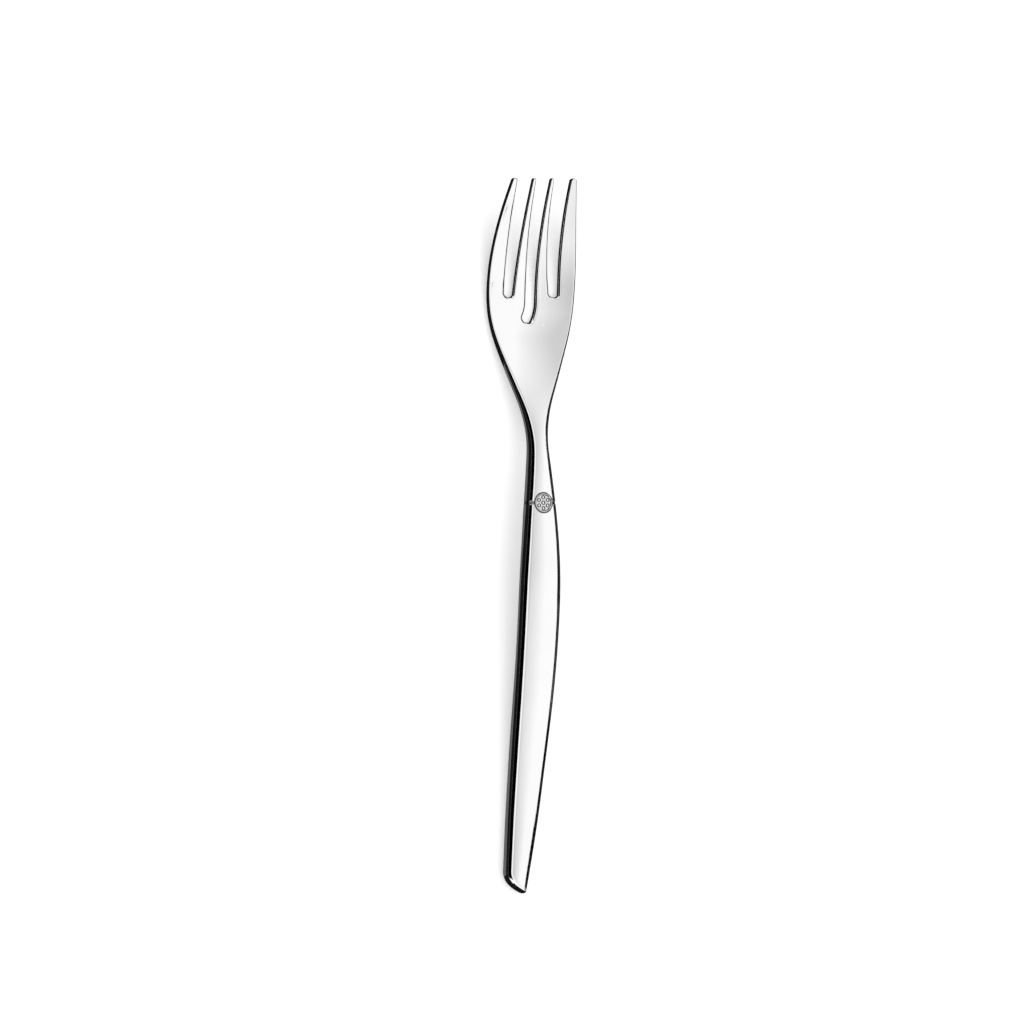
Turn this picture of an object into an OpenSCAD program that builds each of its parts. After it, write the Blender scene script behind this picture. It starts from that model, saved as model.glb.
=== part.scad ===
// Pastry fork. A four-tined head carries a flat tang that slides into a solid handle,
// a pin locks the tang, and a round medallion covers the pin and the joint line.
// +Y runs from the handle to the tips, +X to the right and +Z up. The origin lies on
// the table under the middle of the fork.

/* [Length] */
// Length of the head, from the joint to the tips of the tines
head_length = 68; // [55:1:85]
// Length of the handle, from the joint to its far end
handle_length = 82; // [66:1:100]

/* [Side profile] */
// Height of the handle's underside at the top of its arch
arch_height = 4.4; // [2.5:0.1:7]
// Height of the underside at the tips of the tines
tip_height = 7; // [4:0.1:11]
// Thickness of the handle along its middle
handle_thickness = 4.1; // [3.6:0.1:5.2]
// Thickness of the palm where it leaves the neck
palm_thickness = 2.25; // [1.8:0.05:3]
// Thickness of the tines
tine_thickness = 1.3; // [1:0.05:1.6]
// How far each face of the handle falls away towards its sides
crown_height = 0.3; // [0.1:0.05:0.5]
// How far the outer tines stand above the middle of the head
dish_depth = 1; // [0.4:0.1:2]

/* [Outline] */
// Greatest width of the head
head_width = 20.3; // [17:0.1:25]
// Width of the neck
neck_width = 4.5; // [3.8:0.1:5.2]
// Width where the head meets the handle
joint_width = 6.6; // [6:0.1:7.4]
// Greatest width of the handle
handle_width = 9.15; // [7.8:0.05:11]
// How far the far end of the handle swings to the left
end_swing = 4; // [0:0.1:7]
// Length of the left side that sweeps round to the far end
end_sweep = 4.7; // [3:0.1:6]
// Radius of the tight corner at the right of the far end
corner_radius = 0.65; // [0.4:0.05:1]

/* [Rounded edges] */
// Radius of the edges of the handle
handle_edge = 1.1; // [0.7:0.05:1.2]
// Radius of the edges of the tines
tine_edge = 0.3; // [0.2:0.02:0.34]

/* [Tines] */
// Length of the two outer slots, from the tips to their feet
outer_slot_length = 24.9; // [18:0.1:30]
// How much longer the middle slot is
middle_slot_extra = 5.3; // [3.5:0.1:8]
// Width of each slot at its foot
slot_width = 2.2; // [1.6:0.05:2.8]
// Gap between the two inner tips
middle_tip_gap = 3.4; // [2.8:0.1:4]
// Width of the tips of the two inner tines
inner_tip_width = 0.75; // [0.6:0.05:1]
// Width of the tips of the two outer tines
outer_tip_width = 1.1; // [0.8:0.05:1.4]
// Depth of the rounded foot of each slot
foot_depth = 0.8; // [0.6:0.05:1.1]
// How far the feet of the slots lie to the right
foot_offset = 0.16; // [0:0.02:0.4]
// How far the foot of the middle slot hooks to the left
foot_hook = 0.85; // [0:0.05:1.2]
// Length over which it hooks
hook_length = 3.5; // [2.5:0.1:5]

/* [Joint] */
// Width of the tang
tang_width = 3; // [2.2:0.1:3.4]
// Height of the tang
tang_height = 1.5; // [1.2:0.1:1.7]
// Length of the tang inside the handle
tang_length = 16; // [8:0.5:24]
// Diameter of the locking pin
pin_diameter = 1.2; // [0.8:0.05:1.3]
// Length of the locking pin
pin_length = 2.4; // [1.9:0.1:2.6]
// How far the pin's axis lies behind the joint line
pin_setback = 1.05; // [0.95:0.05:1.1]
// Diameter of the medallion
medallion_diameter = 4.1; // [3.8:0.05:4.5]
// Height of the medallion from its seat to its rim
medallion_height = 0.8; // [0.6:0.05:0.9]
// Width of the groove across the top at the joint line
groove_width = 1; // [0.6:0.1:1.4]
// Depth of that groove
groove_depth = 0.3; // [0.15:0.05:0.4]
// Depth of the fine line that carries on round the sides and the underside
joint_line_depth = 0.05; // [0.02:0.01:0.1]
// Clearance round the tang in its socket
tang_clearance = 0.05; // [0.03:0.01:0.1]
// Clearance round the pin and round the medallion
seat_clearance = 0.03; // [0.02:0.01:0.05]

/* [Medallion] */
// Number of petals on the medallion
petals = 6; // [5:1:8]
// Height of each petal above the field
petal_height = 0.2; // [0.1:0.05:0.3]
// Radius of each petal where it meets the field
petal_radius = 0.44; // [0.3:0.02:0.5]
// Radius of the button in the middle of the petals
button_radius = 0.48; // [0.3:0.02:0.54]
// Width of the medallion's rim
rim_width = 0.26; // [0.22:0.02:0.34]
// Depth of the field below the rim
field_depth = 0.2; // [0.1:0.02:0.26]
// Bevel round the medallion and round the mouth of its seat
bevel = 0.18; // [0.1:0.01:0.2]

/* [Hidden] */

// How far a cut or a joined root runs past the face that it meets
overrun = 0.4;
steel = "silver";
round_steps = 64;

total_length = head_length + handle_length;
tip_y = total_length / 2;
end_y = -total_length / 2;
joint_y = end_y + handle_length;

// Equal steps in the tables below: along the handle from its far end, then along the head
handle_steps = 11;
head_steps = 9;

// Height of the underside, from the far end to the tips
arch_shares = [-0.014, -0.018, 0, 0.073, 0.193, 0.345, 0.518, 0.7, 0.875, 0.99, 1.005, 0.91];
throat_shares = [0.807, 0.66, 0.443, 0.14, -0.065];
toe_shares = [0.036, 0.214, 0.53, 1.007];
underside = concat(arch_height * arch_shares, arch_height * throat_shares, tip_height * toe_shares);

// Thickness along the middle
bar_shares = [0.94, 0.95, 0.975, 1, 1.02, 1.01, 0.975, 0.95, 0.965, 0.99, 1, 1.01, 0.99];
palm_shares = [1.51, 1.22, 1];
tine_shares = [1.2, 0.95, 0.97, 1.02, 1.08];
thickness = concat(
    handle_thickness * bar_shares, palm_thickness * palm_shares, tine_thickness * tine_shares
);

// Fall of each face towards the sides, which ends before the palm
crown_shares = [1, 1, 1, 1, 1, 1, 1, 1, 1, 0.93, 0.87, 0.73, 0.67, 0.47, 0.13, 0, 0, 0, 0, 0, 0];
crowning = crown_height * crown_shares;

// Rise of the outer tines, which starts at the palm
dish_shares = [0, 0, 0, 0, 0, 0, 0, 0, 0, 0, 0, 0, 0, 0.05, 0.35, 0.6, 0.6, 0.6, 0.75, 0.9, 1];
dishing = dish_depth * dish_shares;

// The top face rises a little more than the underside, so the outer tines are thicker
top_dish_share = 1.2;

// Radius of the edges
bar_edge_shares = [1, 1, 1, 1, 1, 1, 1, 1, 1, 1, 1, 1, 1, 0.86, 0.68, 0.5];
tine_edge_shares = [1.27, 1.13, 1.07, 1, 0.93];
edging = concat(handle_edge * bar_edge_shares, tine_edge * tine_edge_shares);

// The edges round off further down the side than across the face
edge_stretch = 1.28;
edge_limit = 0.45;

// Half the width of the head, in equal steps from the joint to the tips
neck_side_shares = [1.286, 1.133, 0.943, 1.071];
head_side_shares = [
    0.325, 0.478, 0.621, 0.764, 0.892, 0.97, 1, 0.997, 0.973, 0.926, 0.867, 0.798, 0.719
];
head_side = concat(
    [joint_width], neck_width * neck_side_shares, head_width * head_side_shares
) / 2;

// Half the width of the handle and the place of its middle, in equal steps from the joint
handle_side_shares = [0.888, 0.993, 1, 0.993, 0.966, 0.917, 0.849, 0.787, 0.674, 0.539];
handle_side = concat([joint_width], handle_width * handle_side_shares) / 2;
swing_shares = [0, 0, 0, 0, 0.03, 0.125, 0.263, 0.4, 0.55, 0.75, 0.988];
handle_middle = -end_swing * swing_shares;

// A smooth curve over equally spaced values, which starts and ends on the first and last
function beyond(c, i) =
    let (n = len(c) - 1)
    i < 0 ? 2 * c[0] - c[1] : i > n ? 2 * c[n] - c[n - 1] : c[i];

function smooth(c, q) =
    let (n = len(c) - 1, s = min(max(q, 0), n), i = min(floor(s), n - 1), f = s - i)
    (
        pow(1 - f, 3) * beyond(c, i - 1)
        + (3 * pow(f, 3) - 6 * pow(f, 2) + 4) * beyond(c, i)
        + (1 + 3 * f + 3 * pow(f, 2) - 3 * pow(f, 3)) * beyond(c, i + 1)
        + pow(f, 3) * beyond(c, i + 2)
    ) / 6;

function along(c, y) = smooth(
    c,
    y < joint_y
        ? handle_steps * (y - end_y) / handle_length
        : handle_steps + head_steps * (y - joint_y) / head_length
);

// The outline's sides and the two faces, at any place in plan
function head_half(y) = smooth(head_side, (len(head_side) - 1) * (y - joint_y) / head_length);
function from_joint(c, y) = smooth(c, (len(c) - 1) * (joint_y - y) / handle_length);
function middle(y) = y < joint_y ? from_joint(handle_middle, y) : 0;
function half(y) = y < joint_y ? from_joint(handle_side, y) : head_half(y);
function nick(y) = max(0, 1 - abs(y - joint_y) / (groove_width / 2));
function dish(x, y) = along(dishing, y) * pow(x / (head_width / 2), 2);
function fall(x, y) = along(crowning, y) * pow((x - middle(y)) / half(y), 2);
function z_under(x, y) =
    max(0, along(underside, y) + dish(x, y) + fall(x, y)) + joint_line_depth * nick(y);
function crest(y) = along(underside, y) + along(thickness, y);
function z_over(x, y) =
    crest(y) + top_dish_share * dish(x, y) - fall(x, y) - groove_depth * nick(y);

// The plate is a closed body between two smooth faces. Each column of it runs from the
// joint, row 0, to one tip, the last row, between a left and a right rail. Below the foot
// of a slot the columns on either side of it share a seam, and above it each rail is part
// of the outline, which has rounded edges.
edge_steps = 4;
ring = 2 * edge_steps + 2;

function unit(v) = v / norm(v);
function inward(a, b) = let (t = unit(b - a)) [t.y, -t.x];

function outline_of(rails, feet) =
    let (last = len(rails[0][0]) - 1, n = len(rails) - 1)
    [
        for (c = [0 : n])
            each concat(
                [for (j = [c == 0 ? 0 : feet[c - 1] + 1 : last]) rails[c][0][j]],
                [for (j = [last - 1 : -1 : c == n ? 0 : feet[c]]) rails[c][1][j]]
            )
    ];

function normals_of(p) =
    let (n = len(p) - 1)
    [
        for (i = [0 : n])
            i == 0 || i == n
                ? [sign(p[n - i].x - p[i].x), 0]
                : unit(inward(p[i - 1], p[i]) + inward(p[i], p[i + 1]))
    ];

function rim_points(p, n) =
    let (
        r = along(edging, p.y),
        rise = min(edge_stretch * r, edge_limit * (z_over(p.x, p.y) - z_under(p.x, p.y)))
    )
    [
        for (k = [0 : ring - 1])
            let (
                upper = k <= edge_steps,
                a = 90 * (upper ? edge_steps - k : k - edge_steps - 1) / edge_steps,
                deepening = upper ? (groove_depth - joint_line_depth) * pow(sin(a), 2) : 0,
                cut = nick(p.y) * (joint_line_depth + deepening),
                q = p + n * (r * (1 - cos(a)) + cut),
                drop = rise * (1 - sin(a)),
                z = upper
                    ? z_over(q.x, q.y) - drop - cut + groove_depth * nick(p.y)
                    : z_under(q.x, q.y) + drop
            )
            [q.x, q.y, z]
    ];

function face_points(p) = [[p.x, p.y, z_over(p.x, p.y)], [p.x, p.y, z_under(p.x, p.y)]];

module plate(rails, feet, cells) {
    columns = len(rails);
    last = len(rails[0][0]) - 1;
    first = concat([0], feet);
    outline = outline_of(rails, feet);
    normals = normals_of(outline);
    count = len(outline);
    function run(c) = 2 * last - first[c] - (c + 1 < columns ? first[c + 1] : 0);
    starts = [for (c = 0, s = 0; c < columns; s = s + run(c), c = c + 1) s];
    rims = [for (i = [0 : count - 1]) rim_points(outline[i], normals[i])];
    function left(c, j) = starts[c] + j - first[c];
    function right(c, j) = starts[c] + 2 * last - first[c] - j;
    function edge_of(c, side, j) =
        side == 0
            ? (j >= first[c] ? rims[left(c, j)][0] : rails[c][0][j])
            : (c + 1 == columns || j >= first[c + 1] ? rims[right(c, j)][0] : rails[c][1][j]);
    inner = [
        for (c = [0 : columns - 1], j = [0 : last - 1], m = [1 : cells - 1])
            let (a = edge_of(c, 0, j), b = edge_of(c, 1, j), f = m / cells)
            each face_points([a.x + (b.x - a.x) * f, a.y + (b.y - a.y) * f])
    ];
    seams = columns == 1 ? [] : [
        for (c = [1 : columns - 1], j = [0 : first[c] - 1]) each face_points(rails[c][0][j])
    ];
    seam_starts = [for (c = 0, s = 0; c < columns; s = s + first[c], c = c + 1) s];
    hub = [0, joint_y, (z_over(0, joint_y) + z_under(0, joint_y)) / 2];
    points = concat([for (r = rims) each r], inner, seams, [hub]);

    inner_base = count * ring;
    seam_base = inner_base + len(inner);
    hub_index = len(points) - 1;
    function rim_index(i, s) = i * ring + s * (ring - 1);
    function seam_index(c, j, s) = seam_base + (seam_starts[c] + j) * 2 + s;
    function at(c, j, m, s) =
        j == last
            ? rim_index(left(c, j), s)
            : m == 0
                ? (j >= first[c] ? rim_index(left(c, j), s) : seam_index(c, j, s))
                : m == cells
                    ? (
                        c + 1 == columns || j >= first[c + 1]
                            ? rim_index(right(c, j), s)
                            : seam_index(c + 1, j, s)
                    )
                    : inner_base + ((c * last + j) * (cells - 1) + m - 1) * 2 + s;
    faces = [
        for (c = [0 : columns - 1], j = [0 : last - 1], m = [0 : cells - 1], s = [0, 1])
            let (
                a = at(c, j, m, s),
                b = at(c, j + 1, m, s),
                d = at(c, j + 1, m + 1, s),
                e = at(c, j, m + 1, s),
                two = b == d ? [[a, b, e]] : [[a, b, d], [a, d, e]]
            )
            each s == 0 ? two : [for (t = two) [t[2], t[1], t[0]]]
    ];
    sides = [
        for (i = [0 : count - 2], k = [0 : ring - 2])
            let (a = i * ring + k, b = a + ring)
            each [[b, a, a + 1], [b, a + 1, b + 1]]
    ];
    mouth = concat(
        [for (c = [0 : columns - 1], m = [0 : cells - 1]) at(c, 0, m, 0)],
        [for (k = [0 : ring - 1]) (count - 1) * ring + k],
        [for (c = [columns - 1 : -1 : 0], m = [cells - 1 : -1 : c == 0 ? 1 : 0]) at(c, 0, m, 1)],
        [for (k = [ring - 1 : -1 : 1]) k]
    );
    cap = [for (i = [0 : len(mouth) - 1]) [hub_index, mouth[i], mouth[(i + 1) % len(mouth)]]];
    polyhedron(points, concat(cap, faces, sides), convexity = 10);
}

// Head: rows of places along it, and the sides of its four tines
middle_foot_y = tip_y - outer_slot_length - middle_slot_extra;
outer_foot_y = tip_y - outer_slot_length;
slot_radius = slot_width / 2;
root_y = outer_foot_y + foot_depth;
hook_y = middle_foot_y + foot_depth;
outer_lean = 18;
slot_place_share = 0.514;
inner_tine_x = middle_tip_gap / 2 + inner_tip_width;
outer_tine_x = head_half(tip_y) - outer_tip_width;
slot_tip_x = (inner_tine_x + outer_tine_x) / 2;
slot_tip_half = (outer_tine_x - inner_tine_x) / 2;
slot_root_x = slot_place_share * head_half(root_y);

palm_rows = 14;
foot_rows = 4;
web_rows = 3;
tine_rows = 9;
tip_rows = 3;
middle_row = palm_rows + 1;
outer_row = middle_row + foot_rows + web_rows;
root_row = outer_row + foot_rows;
tip_row = root_row + tine_rows;

function steps(a, b, n) = [for (i = [1 : n]) a + (b - a) * i / n];
function foot_steps(y) = [for (i = [1 : foot_rows]) y + foot_depth * (1 - cos(90 * i / foot_rows))];
collar_y = joint_y + groove_width / 2;
rows = concat(
    [joint_y, collar_y],
    steps(collar_y, middle_foot_y, palm_rows),
    foot_steps(middle_foot_y),
    steps(hook_y, outer_foot_y, web_rows),
    foot_steps(outer_foot_y)
);

// Slots are numbered from the left. Their feet lean to the left, and the middle one hooks
function reach(y) = min(max((y - root_y) / (tip_y - root_y), 0), 1);
function hook(s, y) = max(0, 1 - (y - (s == 1 ? hook_y : root_y)) / hook_length);
function slot_x(s, y) =
    foot_offset * pow(1 - reach(y), 1.5)
    + (s == 1
        ? -foot_hook * pow(hook(s, y), 2)
        : (s - 1) * (slot_tip_x + (slot_root_x - slot_tip_x) * pow(1 - reach(y), 1.8)));
function slot_half(s, y) =
    slot_radius
    + (s == 1
        ? (middle_tip_gap / 2 - slot_radius) * pow(reach(y), 1.5)
        : (slot_tip_half - slot_radius) * reach(y));
function slot_lean(s, y) =
    s == 1 ? atan(2 * foot_hook * hook(s, y) / hook_length) : outer_lean * hook(s, y);
function slot_edge(s, side, y) =
    let (a = slot_lean(s, y))
    [slot_x(s, y), y] + side * slot_half(s, y) * [cos(a), -sin(a)];
function foot_edge(s, side, turn) =
    let (y = s == 1 ? hook_y : root_y, a = slot_lean(s, y))
    [slot_x(s, y), y]
        + slot_radius * side * sin(turn) * [cos(a), -sin(a)]
        - foot_depth * cos(turn) * [sin(a), cos(a)];
function seam(s, y) =
    let (foot = foot_edge(s, 1, 0)) [foot.x * head_half(y) / head_half(foot.y), y];

function tine_side(c, side, y) =
    side < 0
        ? (c == 0 ? [-head_half(y), y] : slot_edge(c - 1, 1, y))
        : (c == 3 ? [head_half(y), y] : slot_edge(c, -1, y));
function tip_width(c) = c == 0 || c == 3 ? outer_tip_width : inner_tip_width;
function tine_point(c, side, j) =
    let (
        s = side < 0 ? c - 1 : c,
        outer = s < 0 || s > 2,
        foot_row = s == 1 ? middle_row : outer_row,
        tip_start = tip_y - tip_width(c) / 2
    )
    j > tip_row
        ? let (
            a = tine_side(c, -1, tip_start),
            b = tine_side(c, 1, tip_start),
            turn = 90 * (j - tip_row) / tip_rows
        )
            [
                (a.x + b.x + side * (b.x - a.x) * cos(turn)) / 2,
                tip_start + (tip_y - tip_start) * sin(turn)
            ]
        : j > root_row
            ? tine_side(c, side, root_y + (tip_start - root_y) * (j - root_row) / tine_rows)
            : outer
                ? tine_side(c, side, rows[j])
                : j < foot_row
                    ? seam(s, rows[j])
                    : j <= foot_row + foot_rows
                        ? foot_edge(s, -side, 90 * (j - foot_row) / foot_rows)
                        : tine_side(c, side, rows[j]);

head_rails = [
    for (c = [0 : 3]) [
        for (side = [-1, 1]) [for (j = [0 : tip_row + tip_rows]) tine_point(c, side, j)]
    ]
];

// Handle: straight rows, the sweep of the left side and the tight corner on the right
bar_rows = 34;
sweep_rows = 6;
corner_rows = 3;
sweep_y = end_y + end_sweep;
arrival_angle = -27;
sweep_lead_share = 0.5;
sweep_trail_share = 0.4;

function handle_edge_at(side, y) = [middle(y) + side * half(y), y];
side_run = handle_edge_at(1, end_y + corner_radius) - handle_edge_at(1, end_y);
side_angle = atan(side_run.x / side_run.y);
corner_start = handle_edge_at(1, end_y + corner_radius * (1 - sin(side_angle)));
corner_centre = corner_start + corner_radius * [-cos(side_angle), sin(side_angle)];
corner_middle_angle = (arrival_angle - 90 - side_angle) / 2;
function corner_point(a) = corner_centre + corner_radius * [cos(a), sin(a)];

sweep_start = handle_edge_at(-1, sweep_y);
sweep_end = corner_point(arrival_angle - 90);
sweep_control = [
    sweep_start,
    sweep_start
        + sweep_lead_share * end_sweep * unit(sweep_start - handle_edge_at(-1, sweep_y + end_sweep)),
    sweep_end - sweep_trail_share * end_sweep * [cos(arrival_angle), sin(arrival_angle)],
    sweep_end
];
function bezier(c, f) =
    c[0] * pow(1 - f, 3)
    + c[1] * 3 * f * pow(1 - f, 2)
    + c[2] * 3 * pow(f, 2) * (1 - f)
    + c[3] * pow(f, 3);

cuff_y = joint_y - groove_width / 2;
handle_rows = concat([joint_y, cuff_y], steps(cuff_y, sweep_y, bar_rows));
handle_rails = [[
    concat(
        [for (y = handle_rows) handle_edge_at(1, y)],
        [for (y = steps(sweep_y, corner_start.y, sweep_rows)) handle_edge_at(1, y)],
        [for (a = steps(-side_angle, corner_middle_angle, corner_rows)) corner_point(a)]
    ),
    concat(
        [for (y = handle_rows) handle_edge_at(-1, y)],
        [for (i = [1 : sweep_rows]) bezier(sweep_control, i / sweep_rows)],
        [for (a = steps(arrival_angle - 90, corner_middle_angle, corner_rows)) corner_point(a)]
    )
]];

// Joint: the seat frame lies on the top face at the joint line and leans with it
seat_lean = atan(
    (crest(joint_y + medallion_diameter / 2) - crest(joint_y - medallion_diameter / 2))
    / medallion_diameter
);
tang_z = (z_over(0, joint_y) + z_under(0, joint_y)) / 2;
seat_z = crest(joint_y);
medallion_radius = medallion_diameter / 2;

module in_seat() {
    translate([0, joint_y, seat_z]) rotate([seat_lean, 0, 0]) children();
}

module tang_form(grow, root) {
    w = tang_width + 2 * grow;
    h = tang_height + 2 * grow;
    flat = tang_length - tang_width / 2;
    translate([0, joint_y, tang_z - h / 2]) {
        translate([-w / 2, -flat, 0]) cube([w, flat + root, h]);
        translate([0, -flat, 0]) cylinder(d = w, h = h, $fn = round_steps);
    }
}

module seat_cut() {
    in_seat() {
        r = medallion_radius + seat_clearance;
        translate([0, 0, -medallion_height])
            cylinder(r = r, h = medallion_height + overrun, $fn = round_steps);
        translate([0, 0, -bevel]) cylinder(r1 = r, r2 = r + bevel, h = bevel, $fn = round_steps);
    }
}

module pin_form(grow, rise) {
    depth = pin_length + grow;
    in_seat()
        translate([0, -pin_setback, -medallion_height - depth])
            cylinder(d = pin_diameter + 2 * grow, h = depth + rise, $fn = round_steps);
}

module fork_head() {
    color(steel)
        difference() {
            union() {
                plate(head_rails, [outer_row, middle_row, outer_row], 3);
                tang_form(0, overrun);
            }
            seat_cut();
            pin_form(seat_clearance, overrun);
        }
}

module handle() {
    color(steel)
        difference() {
            plate(handle_rails, [], 8);
            tang_form(tang_clearance, overrun);
            seat_cut();
            pin_form(seat_clearance, overrun);
        }
}

module locking_pin() {
    color(steel) pin_form(0, 0);
}

module cap(radius, height) {
    ball = (pow(radius, 2) + pow(height, 2)) / (2 * height);
    translate([0, 0, height - ball]) sphere(r = ball, $fn = round_steps);
}

module medallion() {
    field_z = medallion_height - field_depth;
    field_radius = medallion_radius - rim_width;
    petal_place = (button_radius + field_radius) / 2;
    color(steel)
        in_seat()
            translate([0, 0, -medallion_height]) {
                rotate_extrude($fn = round_steps)
                    polygon([
                        [0, 0],
                        [medallion_radius, 0],
                        [medallion_radius, medallion_height - bevel],
                        [medallion_radius - bevel, medallion_height],
                        [field_radius, medallion_height],
                        [field_radius - bevel, field_z],
                        [0, field_z]
                    ]);
                intersection() {
                    translate([0, 0, field_z - field_depth])
                        cylinder(r = field_radius, h = medallion_height, $fn = round_steps);
                    translate([0, 0, field_z])
                        union() {
                            cap(button_radius, petal_height);
                            for (i = [0 : petals - 1])
                                rotate(360 * i / petals)
                                    translate([0, petal_place, 0])
                                        cap(petal_radius, petal_height);
                        }
                }
            }
}

fork_head();
handle();
locking_pin();
medallion();
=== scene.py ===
"""Looks of the pastry fork: finely meshed head, handle and medallion, polished steel, and a
plain studio. Lengths in the forms below are in millimetres and become metres in the meshes."""

import math

import bmesh
import bpy
import numpy as np
from mathutils import Matrix, Vector


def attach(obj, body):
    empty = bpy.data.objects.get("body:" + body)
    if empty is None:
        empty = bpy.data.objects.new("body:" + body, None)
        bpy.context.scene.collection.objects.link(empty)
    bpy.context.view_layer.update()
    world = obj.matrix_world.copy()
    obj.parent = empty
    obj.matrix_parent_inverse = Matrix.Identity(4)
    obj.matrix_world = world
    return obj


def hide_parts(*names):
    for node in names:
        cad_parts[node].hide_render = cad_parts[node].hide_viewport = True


bl_info = {
    "name": "Pastry fork",
    "version": (1, 0, 0),
    "blender": (4, 5, 0),
    "location": "View3D > Sidebar > Pastry fork",
    "description": "Builds the looks of a polished pastry fork round its packed frame",
    "category": "Object",
}

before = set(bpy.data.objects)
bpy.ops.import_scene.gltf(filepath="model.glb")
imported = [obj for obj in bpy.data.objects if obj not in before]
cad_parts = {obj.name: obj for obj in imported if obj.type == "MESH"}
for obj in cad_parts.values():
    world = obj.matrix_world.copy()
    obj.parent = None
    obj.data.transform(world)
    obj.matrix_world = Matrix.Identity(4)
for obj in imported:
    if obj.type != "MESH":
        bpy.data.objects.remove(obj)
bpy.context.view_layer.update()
MM = 0.001


def length(name, description, millimetres):
    """A length that a user may change."""
    return bpy.props.FloatProperty(
        name=name, description=description, default=millimetres * MM, unit="LENGTH", precision=5
    )


def share(name, description, value, high=1.0):
    """A plain number from 0 to high."""
    return bpy.props.FloatProperty(
        name=name, description=description, default=value, min=0.0, max=high
    )


def angle(name, description, degrees):
    """An angle that a user may change."""
    return bpy.props.FloatProperty(
        name=name, description=description, default=math.radians(degrees), subtype="ANGLE"
    )


def colour(name, description, value):
    """A colour that a user may change."""
    return bpy.props.FloatVectorProperty(
        name=name, description=description, default=value, size=3, subtype="COLOR", min=0, max=1
    )


class ForkSizes(bpy.types.PropertyGroup):
    """Sizes of the fork, the same as the solids have."""

    head_length: length("Head", "From the joint to the tips of the tines", 68)
    handle_length: length("Handle", "From the joint to the far end", 82)
    arch_height: length("Arch", "Height of the handle's underside at the top of its arch", 4.4)
    tip_height: length("Tip height", "Height of the underside at the tips", 7)
    handle_thickness: length("Handle thickness", "Thickness along the handle's middle", 4.1)
    palm_thickness: length("Palm thickness", "Thickness where the palm leaves the neck", 2.25)
    tine_thickness: length("Tine thickness", "Thickness of the tines", 1.3)
    crown_height: length("Crown", "Fall of each handle face towards its sides", 0.3)
    dish_depth: length("Dish", "Rise of the outer tines above the middle of the head", 1)
    head_width: length("Head width", "Greatest width of the head", 20.3)
    neck_width: length("Neck width", "Width of the neck", 4.5)
    joint_width: length("Joint width", "Width where the head meets the handle", 6.6)
    handle_width: length("Handle width", "Greatest width of the handle", 9.15)
    end_swing: length("Swing", "How far the far end swings to the left", 4)
    end_sweep: length("Sweep", "Length of the left side's sweep to the far end", 4.7)
    corner_radius: length("Corner", "Radius of the tight corner of the far end", 0.65)
    handle_edge: length("Handle edge", "Radius of the handle's edges", 1.1)
    tine_edge: length("Tine edge", "Radius of the tines' edges", 0.3)
    outer_slot_length: length("Outer slots", "From the tips to the feet of the outer slots", 24.9)
    middle_slot_extra: length("Middle slot", "How much longer the middle slot is", 5.3)
    slot_width: length("Slot width", "Width of each slot at its foot", 2.2)
    middle_tip_gap: length("Middle gap", "Gap between the two inner tips", 3.4)
    inner_tip_width: length("Inner tips", "Width of the two inner tips", 0.75)
    outer_tip_width: length("Outer tips", "Width of the two outer tips", 1.1)
    foot_depth: length("Foot depth", "Depth of the rounded foot of each slot", 0.8)
    foot_offset: length("Foot offset", "How far the feet of the slots lie to the right", 0.16)
    foot_hook: length("Foot hook", "Hook of the middle slot's foot to the left", 0.85)
    hook_length: length("Hook length", "Length over which the middle slot hooks", 3.5)
    tang_width: length("Tang width", "Width of the tang", 3)
    tang_height: length("Tang height", "Height of the tang", 1.5)
    tang_length: length("Tang length", "Length of the tang in the handle", 16)
    tang_clearance: length("Tang clearance", "Clearance round the tang", 0.05)
    groove_width: length("Groove width", "Width of the groove at the joint", 1)
    groove_depth: length("Groove depth", "Depth of the groove across the top at the joint", 0.3)
    joint_line_depth: length("Joint line", "Depth of the groove round the rest of the joint", 0.05)


class MedallionSizes(bpy.types.PropertyGroup):
    """Sizes of the medallion, the same as the solids have."""

    diameter: length("Diameter", "Diameter of the medallion", 4.1)
    height: length("Height", "From its seat to its rim", 0.8)
    clearance: length("Clearance", "Clearance round it in its seat", 0.03)
    rim_width: length("Rim", "Width of the rim", 0.26)
    field_depth: length("Field depth", "Depth of the field below the rim", 0.2)
    bevel: length("Bevel", "Bevel of the rim and of the seat's mouth", 0.18)
    petal_height: length("Petal height", "Height of each petal above the field", 0.2)
    petal_radius: length("Petal radius", "Radius of each petal at the field", 0.44)
    button_radius: length("Button radius", "Radius of the middle button", 0.48)
    petals: bpy.props.IntProperty(
        name="Petals", description="Number of petals", default=6, min=5, max=8
    )


class FinishSettings(bpy.types.PropertyGroup):
    """Colours and polish of the steel."""

    steel: colour("Steel", "Colour of the polished steel", (0.985, 0.985, 0.983))
    recess: colour("Recess", "Colour of the medallion's satin field", (0.86, 0.86, 0.86))
    drawn: colour("Drawn steel", "Colour of the pin", (0.6, 0.6, 0.61))
    polish: share("Polish", "Roughness of the polished steel", 0.05)
    satin: share("Satin", "Roughness of the medallion's field", 0.28)
    haze: share("Haze", "How much the polish varies", 0.035)
    streaks: share("Streaks", "Depth of the polishing streaks", 0.02)


class StudioSettings(bpy.types.PropertyGroup):
    """The plain studio round the fork."""

    floor: share("Floor", "Brightness of the floor to the camera", 2.0, 4.0)
    floor_glow: share("Floor glow", "Share of the floor's brightness that no shadow takes", 0.38)
    dome: share("Dome", "Strength of the even light from all sides", 0.62, 4.0)
    key: share("Key", "Power of the broad lamp overhead, in watts", 1.4, 50.0)
    key_angle: angle("Key angle", "Tilt of the broad lamp to the right", 28)
    view_angle: angle("View angle", "Tilt of the camera to the left", 25)
    view_width: length("View width", "Width of the picture at the fork", 215.0)
    lens: bpy.props.FloatProperty(
        name="Lens", description="Focal length in millimetres", default=600, min=10
    )


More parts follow.
